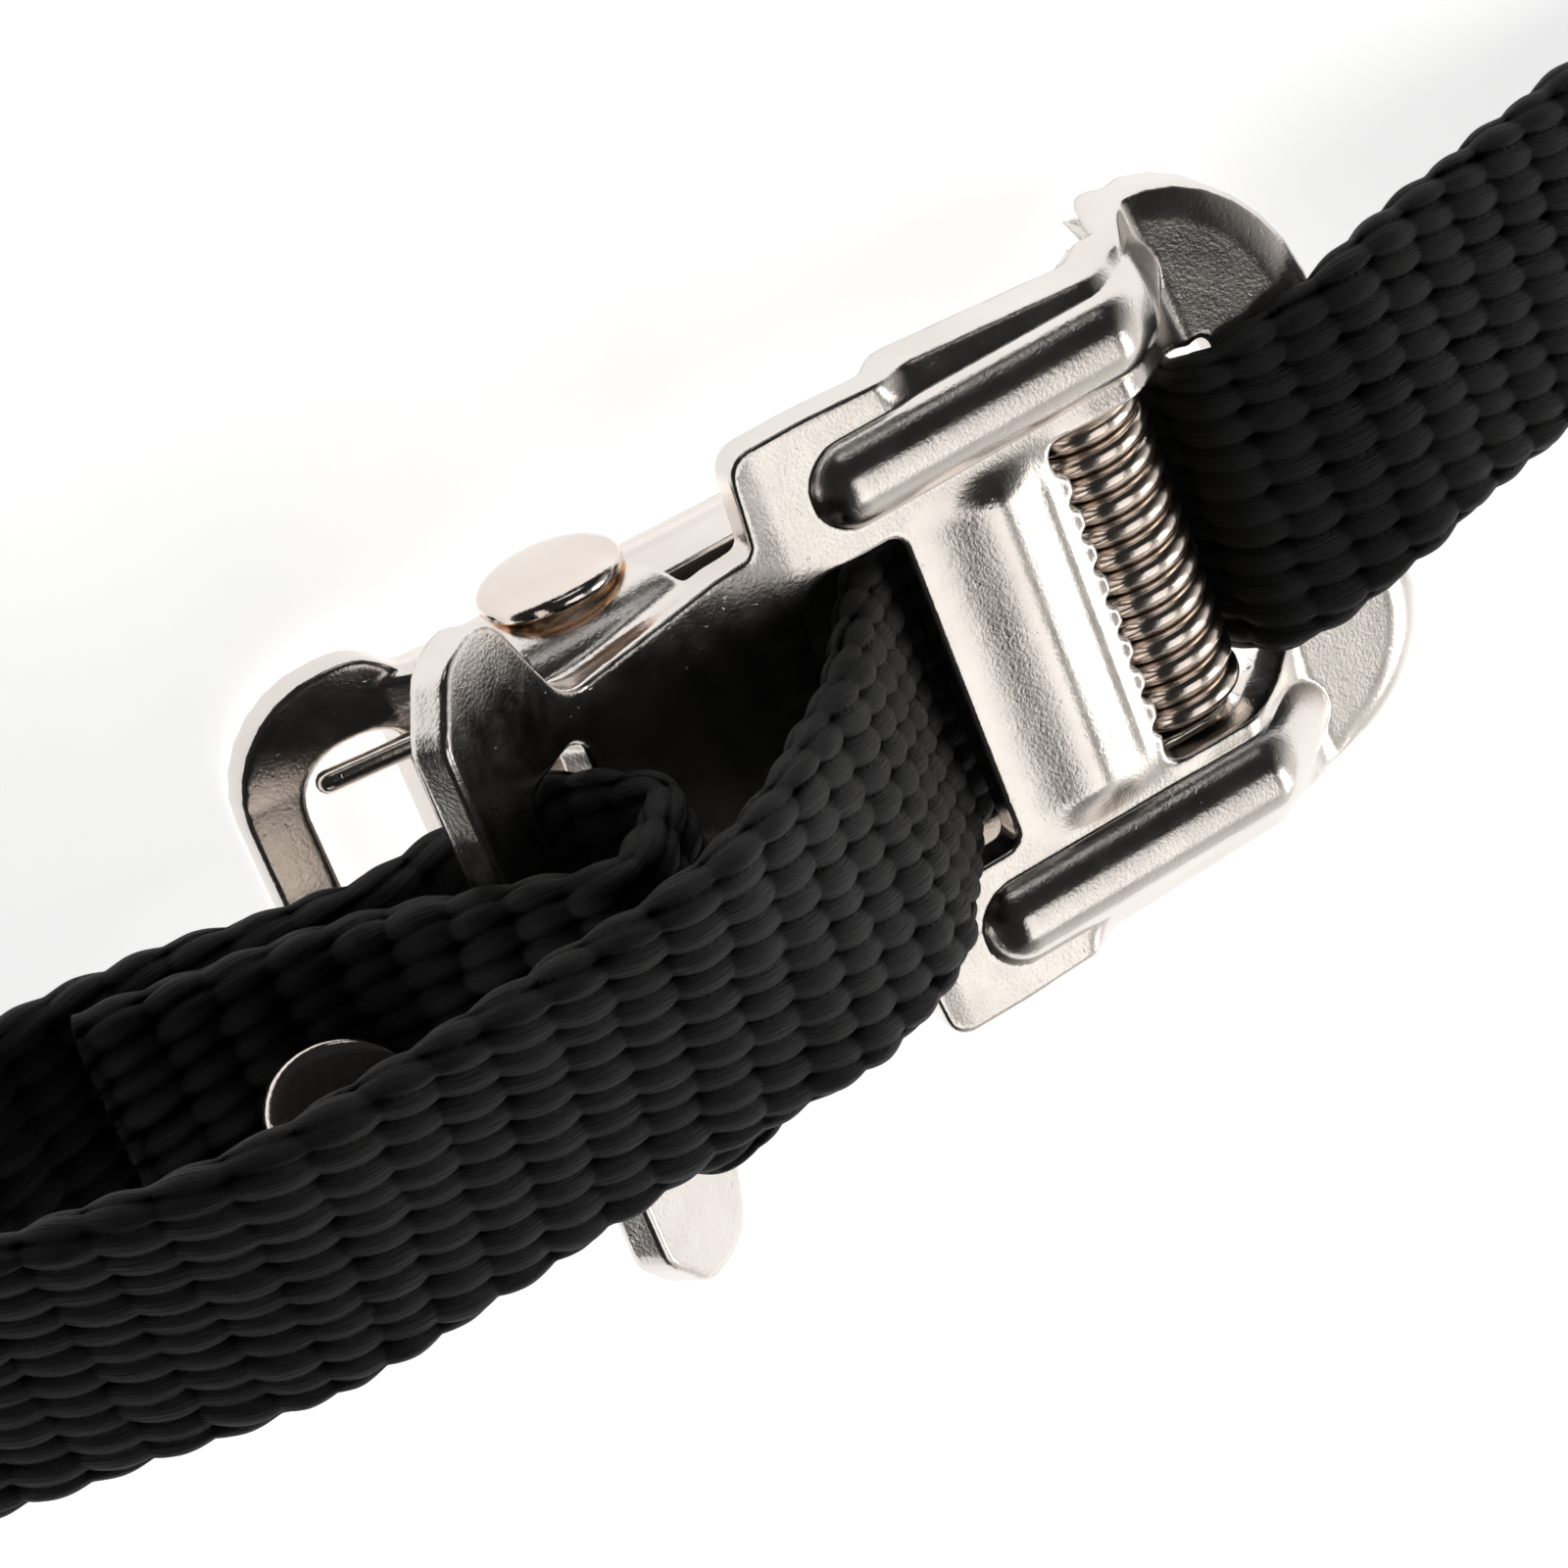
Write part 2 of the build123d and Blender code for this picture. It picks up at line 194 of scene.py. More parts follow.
def surface(name, distance, lo, hi, step, material, body):
    """The zero surface of a distance function as quads, one vertex for each cell that it crosses."""
    axes = [np.arange(lo[i], hi[i] + step, step) for i in range(3)]
    vals = sampled(distance, axes, step)
    inside = vals < 0
    n = [len(a) - 1 for a in axes]
    count = np.zeros(n, np.int8)
    for dx in (0, 1):
        for dy in (0, 1):
            for dz in (0, 1):
                count += inside[dx:dx + n[0], dy:dy + n[1], dz:dz + n[2]]
    cells = (count > 0) & (count < 8)
    ids = np.full(n, -1, np.int64)
    where = np.argwhere(cells)
    ids[cells] = np.arange(len(where))
    base = np.array(lo) + where * step
    total = np.zeros((len(where), 3))
    hits = np.zeros(len(where))
    i, j, k = where.T
    for axis in range(3):
        unit = np.eye(3, dtype=int)[axis]
        others = [a for a in range(3) if a != axis]
        for p in (0, 1):
            for q in (0, 1):
                off = np.zeros(3, int)
                off[others[0]], off[others[1]] = p, q
                v0 = vals[i + off[0], j + off[1], k + off[2]]
                v1 = vals[i + off[0] + unit[0], j + off[1] + unit[1], k + off[2] + unit[2]]
                cross = (v0 < 0) != (v1 < 0)
                t = np.where(cross, v0 / np.where(cross, v0 - v1, 1), 0)
                point = base + (off + t[:, None] * unit) * step
                total += np.where(cross[:, None], point, 0)
                hits += cross
    verts = total / hits[:, None]
    eps = step * 0.2    # then each vertex is pulled onto the surface
    for _ in range(2):
        x, y, z = verts.T
        d = distance(x, y, z)
        grad = np.stack([distance(x + eps, y, z) - distance(x - eps, y, z),
                         distance(x, y + eps, z) - distance(x, y - eps, z),
                         distance(x, y, z + eps) - distance(x, y, z - eps)], 1) / (2 * eps)
        move = -grad * (d / np.maximum((grad ** 2).sum(1), 0.3))[:, None]
        verts = verts + np.clip(move, -step / 2, step / 2)
    faces = []
    for axis in range(3):
        unit = np.eye(3, dtype=int)[axis]
        u, v = [np.eye(3, dtype=int)[a] for a in ((axis + 1) % 3, (axis + 2) % 3)]
        a = inside[:n[0] + 1 - unit[0], :n[1] + 1 - unit[1], :n[2] + 1 - unit[2]]
        b = inside[unit[0]:, unit[1]:, unit[2]:]
        e = np.argwhere(a != b)
        keep = ((e - u - v) >= 0).all(1) & (e < np.array(n)).all(1)
        e = e[keep]
        flip = a[tuple(e.T)]
        quad = np.stack([ids[tuple((e - u - v).T)], ids[tuple((e - v).T)], ids[tuple(e.T)],
                         ids[tuple((e - u).T)]], 1)
        quad[~flip] = quad[~flip][:, ::-1]
        faces.append(quad)
    return new_mesh(name, verts, np.concatenate(faces), material, body)


# ---- materials ----

class Nodes:
    """A small helper for building a material's node tree."""

    def __init__(self, name):
        self.material = bpy.data.materials.new(name)
        self.material.use_nodes = True
        self.tree = self.material.node_tree
        self.shader = self.tree.nodes["Principled BSDF"]
        self.coords = self.tree.nodes.new("ShaderNodeTexCoord").outputs["Object"]

    def add(self, kind, **inputs):
        node = self.tree.nodes.new(kind)
        for key, value in inputs.items():
            if hasattr(node, key) and key not in node.inputs:
                setattr(node, key, value)
                continue
            socket = node.inputs[int(key[1:])] if key[0] == "i" and key[1:].isdigit() else node.inputs[key]
            if isinstance(value, bpy.types.NodeSocket):
                self.tree.links.new(value, socket)
            else:
                socket.default_value = value
        return node

    def link(self, output, name):
        self.tree.links.new(output, self.shader.inputs[name])

    def noise(self, scale, detail=2.0, rough=0.5, vector=None, stretch=None):
        vector = vector or self.coords
        if stretch:
            vector = self.add("ShaderNodeMapping", Vector=vector, Scale=stretch).outputs[0]
        return self.add("ShaderNodeTexNoise", Vector=vector, Scale=scale, Detail=detail,
                        Roughness=rough).outputs[0]

    def ramp(self, value, stops):
        node = self.add("ShaderNodeValToRGB", Fac=value)
        elements = node.color_ramp.elements
        while len(elements) < len(stops):
            elements.new(0.5)
        for element, (at, colour) in zip(elements, stops):
            element.position = at
            element.color = (*colour, 1) if len(colour) == 3 else colour
        return node.outputs[0]

    def bump(self, height, strength, distance, under=None):
        node = self.add("ShaderNodeBump", Height=height, Strength=strength, Distance=distance)
        if under:
            self.tree.links.new(under, node.inputs["Normal"])
        return node.outputs[0]


def metal(name, light, dark, rough, grain, grain_scale=9000.0):
    """Bright plating with orange-peel grain, tiny pits, and tint and polish that vary slowly."""
    n = Nodes(name)
    tint = n.ramp(n.noise(260.0, 3.0, 0.6), [(0.3, dark), (0.7, light)])
    n.link(tint, "Base Color")
    n.shader.inputs["Metallic"].default_value = 1.0
    polish = n.ramp(n.noise(900.0, 5.0, 0.65), [(0.3, (rough[0],) * 3), (0.72, (rough[1],) * 3)])
    n.link(polish, "Roughness")
    peel = n.bump(n.noise(grain_scale, 3.0, 0.6), grain, 0.00002)
    waves = n.bump(n.noise(1100.0, 3.0, 0.5), 0.3, 0.00003, peel)
    pits = n.ramp(n.noise(3800.0, 1.0, 0.4), [(0.22, (0, 0, 0)), (0.27, (1, 1, 1))])
    n.link(n.bump(pits, 0.25, 0.00002, waves), "Normal")
    return n.material


nickel = metal("nickel_plate", (0.84, 0.79, 0.75), (0.75, 0.70, 0.66), (0.13, 0.25), 0.4)
wire_metal = metal("spring_wire", (0.9, 0.81, 0.74), (0.8, 0.69, 0.61), (0.14, 0.25), 0.25)
rivet_metal = metal("rivet_metal", (0.9, 0.62, 0.42), (0.8, 0.48, 0.28), (0.12, 0.2), 0.15)
polished = metal("polished_nickel", (0.86, 0.79, 0.74), (0.77, 0.69, 0.63), (0.06, 0.13), 0.3)


# ---- top plate ----

RIB_Y = 7.35
RIB_HALF = 1.32
END_TOP = -2.1

body_outline = filleted([
    (-15.45, 8.5, 1.3), (-14.3, 10.2, 1.0), (-12.4, 10.45, 1.3), (-10.9, 6.3, 1.1), (-5.5, 6.9, 0.3),
    (-4.25, 6.9, 0.35), (-4.0, 9.75, 0.8), (-1.5, 9.75, 2.0), (8.2, 9.15, 3.0), (15.3, 9.3, 4.3),
    (15.3, -9.4, 4.3), (8.2, -9.3, 3.0), (-1.5, -9.75, 2.0), (-4.0, -9.75, 0.8), (-4.25, -6.9, 0.35),
    (-5.5, -6.9, 0.3), (-10.9, -6.3, 1.1), (-12.4, -10.45, 1.3), (-14.3, -10.2, 1.0), (-15.45, -8.5, 1.3)])
window = filleted([(-3.55, 5.2, 1.3), (0.0, 5.2, 0.45), (0.0, -5.2, 0.45), (-3.55, -5.2, 1.3)])
slot_hole = filleted([(-13.5, 5.2, 0.7), (-10.9, 5.2, 0.7), (-10.9, -5.3, 0.7), (-13.5, -5.3, 0.7)])


def tooth_edge():
    """The corners of the serrated edge, from +y to -y: rounded crests with sharp notches."""
    crests = [3.95, 2.85, 1.78, 0.7, -0.38, -1.45, -2.52, -3.6]
    corners = [(4.75, 5.35, 0.5)]
    for y in crests:
        corners += [(4.93, y + 0.54, 0.14), (5.27, y + 0.24, 0.24), (5.27, y - 0.24, 0.24)]
    return corners + [(4.93, -4.15, 0.14), (5.2, -4.5, 0.2), (4.95, -5.45, 0.5)]


roller_hole = filleted(tooth_edge() + [
    (9.6, -5.45, 1.0), (10.9, -4.75, 0.35), (11.55, -4.9, 0.35), (11.6, -4.0, 0.35),
    (11.6, 4.0, 0.35), (11.55, 4.9, 0.35), (10.9, 4.75, 0.35), (9.6, 5.35, 1.0)])


def rib_shape(x, y, middle):
    """Height of one arm's rib: half-round, rounded at its left end, fading over the step."""
    along = np.maximum(-0.75 - x, 0) + np.maximum(x - 9.3, 0) * 0.7
    d = np.hypot(np.abs(y - middle), along) / RIB_HALF
    return 0.92 * np.clip(1 - d * d, 0, 1) ** 0.72


def top_height(x, y):
    """Height of the plate's upper face over the drawing's z = 0."""
    lip = np.maximum(-9.7 - x, 0)
    bend = 2.4
    z = np.where(lip < bend, lip ** 2 / (2 * bend) * 0.745, (lip - bend / 2) * 0.745)
    step = smoothstep(x, 7.6, 11.0)
    z = z + END_TOP * step
    ay = np.abs(y)
    rib = np.maximum(rib_shape(x, y, RIB_Y), rib_shape(x, y, -RIB_Y))
    z = z + rib
    bulge = 0.55 * smoothstep(x, 0.2, 3.2) * (1 - smoothstep(x, 2.4, 5.4))
    z = z + bulge * (1 - smoothstep(ay, 4.5, 6.0))
    ridge = 0.05 * np.exp(-((x - 4.5) / 0.2) ** 2)
    z = z + ridge * (1 - smoothstep(ay, 3.9, 5.2))
    neck = np.maximum(-3.2 - x, 0)
    z = z + 0.1 * np.sqrt(neck * neck + 0.09) - 0.03
    rolled = np.maximum(ay - 8.5, 0) * smoothstep(x, 0.6, 2.2) * (1 - smoothstep(x, 8.8, 10.2))
    z = z - 0.8 * (np.hypot(rolled, 0.15) - 0.15)
    z = z - 0.33 * np.maximum(y - 4.2, 0) * smoothstep(x, 9.4, 11.2)
    shoulder = np.maximum(6.1 - ay, 0) * smoothstep(x, 5.0, 6.5) * (1 - smoothstep(x, 9.5, 11.0))
    z = z + 0.18 * np.minimum(shoulder, 0.8)
    rim = np.maximum(np.hypot(np.maximum(x - 10.6, 0), np.maximum(ay - 5.0, 0)) - 3.4, 0)
    z = z - 0.3 * np.minimum(rim * smoothstep(x, 10.0, 12.0), 1.2) ** 2
    return z


plan_field = outline_field(body_outline, (window, slot_hole, roller_hole))


def plate_distance(x, y, z):
    eps = 0.05
    h = top_height(x, y)
    gx = (top_height(x + eps, y) - top_height(x - eps, y)) / (2 * eps)
    gy = (top_height(x, y + eps) - top_height(x, y - eps)) / (2 * eps)
    tall = np.sqrt(1 + gx * gx + gy * gy)
    sheet = np.abs((z - h) / tall + SHEET / 2) - SHEET / 2
    slope = np.where(x < -9.7, gx, 0)
    foot = x + (z - h) * slope / (1 + slope * slope)
    plan = plan_field(foot, y)
    flat = round_max(sheet, plan, 0.16)
    return smooth_min(flat, ears_distance(x, y, z), 0.25)


EAR_BEND = 1.9           # radius of the middle of the sheet where an ear folds down
EAR_FOLD_Y = 7.05 - EAR_BEND
ear_field = outline_field(filleted([
    (-10.85, -1.0, 0), (-5.8, -1.0, 0), (-6.1, 1.4, 1.2), (-7.05, 3.4, 1.0), (-6.9, 5.6, 2.05),
    (-11.1, 5.6, 2.05), (-11.15, 1.4, 1.2)]))


def ears_distance(x, y, z):
    """Both ears: the sheet folded down round a cylinder, cut to the outline of its flat blank."""
    ay = np.abs(y)
    dy, dz = ay - EAR_FOLD_Y, z + SHEET / 2 + EAR_BEND
    angle = np.arctan2(np.maximum(dy, 0), np.maximum(dz, 1e-6))
    around = np.hypot(np.maximum(dy, 0), np.maximum(dz, 0))
    across = np.where(dy < 0, dz, np.where(dz < 0, dy, around)) - EAR_BEND
    unrolled = np.where(dy < 0, dy, EAR_BEND * angle + np.where(dz < 0, -dz, 0))
    return round_max(np.abs(across) - SHEET / 2, ear_field(x, unrolled), 0.16)


STEP = 0.11
top_plate = surface("top_plate_pressing", plate_distance, (-17.6, -10.8, -5.9), (15.5, 10.8, 6.3), STEP,
                    nickel, "frame")
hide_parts("top_plate")


# ---- clamp lever ----

RING_LEFT = -18.8
WALL_INNER = 5.3
WALL_OUTER = 6.4
KNEE = (-13.0, -6.2)      # where the floor's slope changes, x and z
FLOOR_END_X = -2.6
lever_outline = filleted([
    (RING_LEFT, 7.4, 3.6), (-14.1, 7.4, 1.6), (-13.1, 6.4, 0.8), (10, 6.4, 0), (10, -6.4, 0),
    (-13.1, -6.4, 0.8), (-14.1, -7.4, 1.6), (RING_LEFT, -7.4, 3.6)])
ring_hole = filleted([(-17.05, 5.1, 1.7), (-13.45, 5.1, 1.5), (-13.45, -5.1, 1.5), (-17.05, -5.1, 1.7)])
ring_field = outline_field(lever_outline, (ring_hole,))
wall_field = outline_field(filleted([
    (-14.2, -7.4, 0), (-13.9, -5.75, 0.8), (-11.5, -4.3, 0.8), (-10.8, -1.45, 1.5), (-7.4, -1.45, 1.5),
    (-6.6, -3.0, 1.0), (3.4, -2.75, 2.0), (5.5, -1.15, 1.4), (8.4, -1.15, 1.4), (8.4, -4.0, 1.4),
    (4.4, -5.2, 1.0), (2.0, -7.4, 0)]))


def floor_middle(x):
    """Height of the middle of the lever's floor: a gentle slope, steeper under the ring."""
    gentle = KNEE[1] + (x - KNEE[0]) * 0.084
    steep = KNEE[1] + (x - KNEE[0]) * 0.224
    return smooth_min(gentle, steep, 0.35)


def lever_distance(x, y, z):
    ay = np.abs(y)
    mid = floor_middle(x)
    up = z - mid
    outer = round_max(ay - WALL_OUTER, -(up + SHEET / 2), 1.3)
    inner = round_max(ay - WALL_INNER, -(up - SHEET / 2), 0.35)
    channel = np.maximum(outer, -inner)
    walls = round_max(channel, wall_field(x, z), 0.14)
    edge = np.maximum(ring_field(x, y), x - FLOOR_END_X)
    crown = 0.10 * np.clip(1 - ((ay - 5.9) / 1.6) ** 2, 0, 1) * (1 - smoothstep(x, -14.5, -13.0))
    flat = round_max(np.abs(up - crown) - SHEET / 2, edge, 0.2)
    hinge_hole = np.hypot(x - HINGE[0], z - HINGE[1]) - HINGE_HOLE_R
    roller_pin_hole = np.hypot(x - ROLLER[0], z - ROLLER[1]) - ROLLER_HOLE_R
    return np.maximum(smooth_min(walls, flat, 0.25), -np.minimum(hinge_hole, roller_pin_hole))


lever = surface("clamp_lever_pressing", lever_distance, (-19.3, -8.0, -8.6), (9.0, 8.0, -0.7), STEP,
                nickel, "lever")
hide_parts("clamp_lever")


# ---- turned pieces ----

def tube_quads(rings, sides):
    """The quads between successive rings of points."""
    i, k = np.meshgrid(np.arange(rings - 1), np.arange(sides), indexing="ij")
    a, b = i * sides + k, i * sides + (k + 1) % sides
    return np.stack([a, b, b + sides, a + sides], -1).reshape(-1, 4)


LATHE_SIDES = 96
RIM = 0.2                # height of the bare rim under a rivet head


def lathe(name, profile, centre, axis, material, body):
    """A solid of revolution: profile is (radius, height) up the axis from centre."""
    axis = np.array(axis, float) / np.linalg.norm(axis)
    side = np.cross(axis, [0.0, 0.0, 1.0]) if abs(axis[2]) < 0.9 else np.cross(axis, [0.0, 1.0, 0.0])
    side /= np.linalg.norm(side)
    other = np.cross(axis, side)
    angle = 2 * math.pi * np.arange(LATHE_SIDES) / LATHE_SIDES
    ring = side * np.cos(angle)[:, None] + other * np.sin(angle)[:, None]
    radius, height = np.array(profile, float).T
    verts = np.array(centre) + axis * height[:, None, None] + ring[None] * radius[:, None, None]
    return new_mesh(name, verts.reshape(-1, 3), tube_quads(len(profile), LATHE_SIDES), material, body)


def copper_rim(obj, profile, low):
    """The underside of a rivet head's rim from height low, where the plating is thin and copper shows."""
    obj.data.materials.append(rivet_metal)
    for i in range(len(profile) - 1):
        middle = abs(profile[i][1] + profile[i + 1][1]) / 2
        if low <= middle <= low + RIM:
            for k in range(LATHE_SIDES):
                obj.data.polygons[i * LATHE_SIDES + k].material_index = 1


def head_profile(radius, height, base):
    """A rivet head's outline from its rim's underside to the middle of its top."""
    points = [(radius - 0.35, base), (radius - 0.08, base + 0.05), (radius, base + 0.16),
              (radius - 0.02, base + 0.3)]
    for k in range(1, 17):
        turn = math.pi / 2 * k / 16
        r = (radius - 0.02) * math.cos(turn) ** 0.85
        points.append((max(r, 1e-4), base + 0.3 + (height - 0.3) * math.sin(turn)))
    return points


def pin_profile(half_length, shank, head, height):
    """A pin with a head on both ends, from the middle of one head to the middle of the other."""
    ends = head_profile(head, height, half_length)
    shaft = [(shank, -half_length + 0.02), (shank, half_length - 0.02)]
    return [(r, -h) for r, h in reversed(ends)] + shaft + ends


HINGE_SHOULDER = 7.66    # half the length between the heads
HINGE_HEAD = (2.15, 0.84)     # radius and height
ROLLER_SHOULDER = 6.41
ROLLER_HEAD = (1.65, 0.83)
ACROSS = (0, 1, 0)

hinge_profile = pin_profile(HINGE_SHOULDER, 0.75, *HINGE_HEAD)
hinge_pin = lathe("hinge_rivet", hinge_profile, (HINGE[0], 0, HINGE[1]), ACROSS, polished, "frame")
copper_rim(hinge_pin, hinge_profile, HINGE_SHOULDER)
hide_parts("hinge_pin")
roller_profile = pin_profile(ROLLER_SHOULDER, 1.2, *ROLLER_HEAD)
roller_pin = lathe("roller_rivet", roller_profile, (ROLLER[0], 0, ROLLER[1]), ACROSS, nickel, "lever")
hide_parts("roller_pin")

STRAP_RIVET = (-21.0, -0.2, 1.692)           # on the middle line of the loop's upper layer
STRAP_SLOPE = math.atan2(3.0, 7.2)
CAP_BASE = 0.93                              # the cap's underside above that line
strap_axis = (-math.sin(STRAP_SLOPE), 0, math.cos(STRAP_SLOPE))
clinched_end = [(1e-4, -3.5), (1.2, -3.48), (1.4, -3.4), (1.4, -3.2), (1.0, -3.17)]
strap_rivet_profile = clinched_end + [(1.0, 0.9)] + head_profile(2.3, 0.85, CAP_BASE)
strap_rivet = lathe("strap_rivet_cap", strap_rivet_profile, STRAP_RIVET, strap_axis, polished, "frame")
copper_rim(strap_rivet, strap_rivet_profile, CAP_BASE)
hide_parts("strap_rivet")


# ---- wire ----

def wire(name, path, body):
    """Round wire along a path, with domed ends."""
    sides = 20
    tangent = np.gradient(path, axis=0)
    tangent /= np.linalg.norm(tangent, axis=1)[:, None]
    normal = np.cross(tangent, [0.0, 1.0, 0.0])
    normal /= np.linalg.norm(normal, axis=1)[:, None]
    other = np.cross(tangent, normal)
    radius = WIRE / 2
    dome = [(0.02, 1.0), (0.5, 0.87), (0.87, 0.5)]    # ring size and distance out, from the tip
    first = [path[0] - tangent[0] * radius * far for _, far in dome]
    last = [path[-1] + tangent[-1] * radius * far for _, far in reversed(dome)]
    sizes = [size for size, _ in dome]
    centres = first + list(path) + last
    radii = [radius * size for size in sizes + [1.0] * len(path) + sizes[::-1]]
    index = [0] * len(dome) + list(range(len(path))) + [len(path) - 1] * len(dome)
    angle = 2 * math.pi * np.arange(sides) / sides
    ring = (normal[index][:, None] * np.cos(angle)[None, :, None]
            + other[index][:, None] * np.sin(angle)[None, :, None])
    verts = np.array(centres)[:, None] + ring * np.array(radii)[:, None, None]
    return new_mesh(name, verts.reshape(-1, 3), tube_quads(len(centres), sides)[:, ::-1], wire_metal, body)


def wound(axis, outside, turns, start):
    """The middle line of a close-wound coil across the part, from +y to -y."""
    count = int(turns * (48))
    angle = math.radians(start) + np.linspace(0, 2 * math.pi * turns, count)
    radius = outside - WIRE / 2
    y = WIRE_PITCH * turns * (0.5 - np.linspace(0, 1, count))
    return np.stack([axis[0] + radius * np.cos(angle), y, axis[1] + radius * np.sin(angle)], 1)


def straight(start, direction, length):
    """Points along a straight leg, without its start."""
    away = np.linspace(0, length, max(8, int(length / 0.15)))[1:]
    return start + away[:, None] * np.array(direction)[None]


roller_coil = wire("roller_coil", wound(ROLLER, COIL_R, COIL_TURNS, 0.0), "roller")
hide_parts("coil_roller")

# The angles round the hinge at which the coil starts and ends, each in line with its leg.
SPRING_START = 12.3 - 90
SPRING_END = 90 - 8.0
spring_turns = SPRING_TURNS + (SPRING_END - SPRING_START) / 360
spring_line = wound(HINGE, SPRING_R, spring_turns, SPRING_START)
rising = math.radians(SPRING_END)
short_leg = straight(spring_line[-1], (-math.sin(rising), 0, math.cos(rising)), SHORT_LEG)
spring_coil = wire("spring_coil", np.concatenate([spring_line, short_leg]), "frame")
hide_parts("torsion_spring")
falling = math.radians(SPRING_START)
long_leg = straight(spring_line[0], (math.sin(falling), 0, -math.cos(falling)), LONG_LEG)
spring_leg = wire("spring_leg", np.concatenate([spring_line[:1], long_leg]), "lever")
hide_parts("torsion_spring")


# ---- webbing ----

RIB_PITCH = 1.75         # from one column of yarn floats to the next
YARNS = 24               # floats round the whole strap in one column
EDGE_R = 0.62            # radius of the selvedge
COLUMNS = 600            # more columns of floats than either strap has
FINE = 0.05              # spacing that a route is smoothed at
WEAVE_STEP = 0.085


def smooth_line(points, sigma):
    """A smoothed line along x, z points and the distance run at each, evenly spaced."""
    pts = np.array(points, float)
    run = np.concatenate([[0], np.cumsum(np.hypot(*np.diff(pts, axis=0).T))])
    fine = np.arange(0, run[-1], FINE)
    line = np.stack([np.interp(fine, run, pts[:, i]) for i in (0, 1)], 1)
    width = int(3 * sigma / FINE)
    weights = np.exp(-0.5 * (np.arange(-width, width + 1) * FINE / sigma) ** 2)
    weights /= weights.sum()
    head = line[0] + (line[0] - line[1]) * np.arange(width, 0, -1)[:, None]
    tail = line[-1] + (line[-1] - line[-2]) * np.arange(1, width + 1)[:, None]
    padded = np.concatenate([head, line, tail])
    line = np.stack([np.convolve(padded[:, i], weights, "valid") for i in (0, 1)], 1)
    run = np.concatenate([[0], np.cumsum(np.hypot(*np.diff(line, axis=0).T))])
    even = np.linspace(0, run[-1], int(run[-1] / WEAVE_STEP) + 1)
    return np.stack([np.interp(even, run, line[:, i]) for i in (0, 1)], 1), even


def open_route(corners):
    """Filleted open route from (x, z, radius) corners."""
    far_below = ((corners[0][0] + corners[-1][0]) / 2, -60.0, 0)
    return filleted([*corners, far_below])[:-1]


def weave_height(s, w, seed):
    """Height of the yarn floats over their valleys, and how far across its float each point is.
    s runs along the strap in millimetres and w round it in yarns."""
    rng = np.random.default_rng(seed)
    jitter = rng.uniform(-1, 1, (COLUMNS, YARNS, 4))
    best = np.full(np.broadcast(s, w).shape, -1.0)
    across = np.zeros_like(best)
    column = np.floor(s / RIB_PITCH + 0.5).astype(int)
    for dk in (-1, 0, 1):
        k = column + dk
        shift = 0.5 * (k % 2)
        for dj in (-1, 0, 1):
            j = np.floor(w - shift + 0.5).astype(int) + dj
            jit = jitter[np.clip(k, 0, COLUMNS - 1), j % YARNS]
            along = (s - k * RIB_PITCH) / RIB_PITCH - 0.06 * jit[..., 0]
            v = w - shift - j - 0.08 * jit[..., 1] - (0.5 + 0.12 * jit[..., 3]) * along
            r2 = (along / 0.76) ** 2 + (v / (0.68 + 0.05 * jit[..., 2])) ** 2
            dome = np.sqrt(np.clip(1 - r2, 0, 1)) * (1 + 0.12 * jit[..., 2])
            h = dome - 0.5 * v - 0.3 * np.abs(along) ** 1.5
            h = np.where(r2 < 1, h, -1)
            better = h > best
            best = np.where(better, h, best)
            across = np.where(better, v, across)
    return best, across


def strap_section():
    """Points round the flat section with rounded edges: y and z, the outward normal, and yarns round."""
    flat_half = WEB_WIDTH / 2 - EDGE_R
    turn = math.pi * EDGE_R
    perimeter = 4 * flat_half + 2 * turn
    count = int(perimeter / WEAVE_STEP)
    points = []
    for distance in np.arange(count) / count * perimeter:
        upper = distance < 2 * flat_half + turn
        side = 1 if upper else -1
        along = distance if upper else distance - 2 * flat_half - turn
        if along < 2 * flat_half:
            points.append((side * (along - flat_half), side * EDGE_R, 0, side))
        else:
            t = math.pi / 2 - (along - 2 * flat_half) / EDGE_R
            ny, nz = side * math.cos(t), side * math.sin(t)
            points.append((side * flat_half + EDGE_R * ny, EDGE_R * nz, ny, nz))
    y, z, ny, nz = np.array(points, float).T
    return y, z, ny, nz, np.arange(count) / count * YARNS


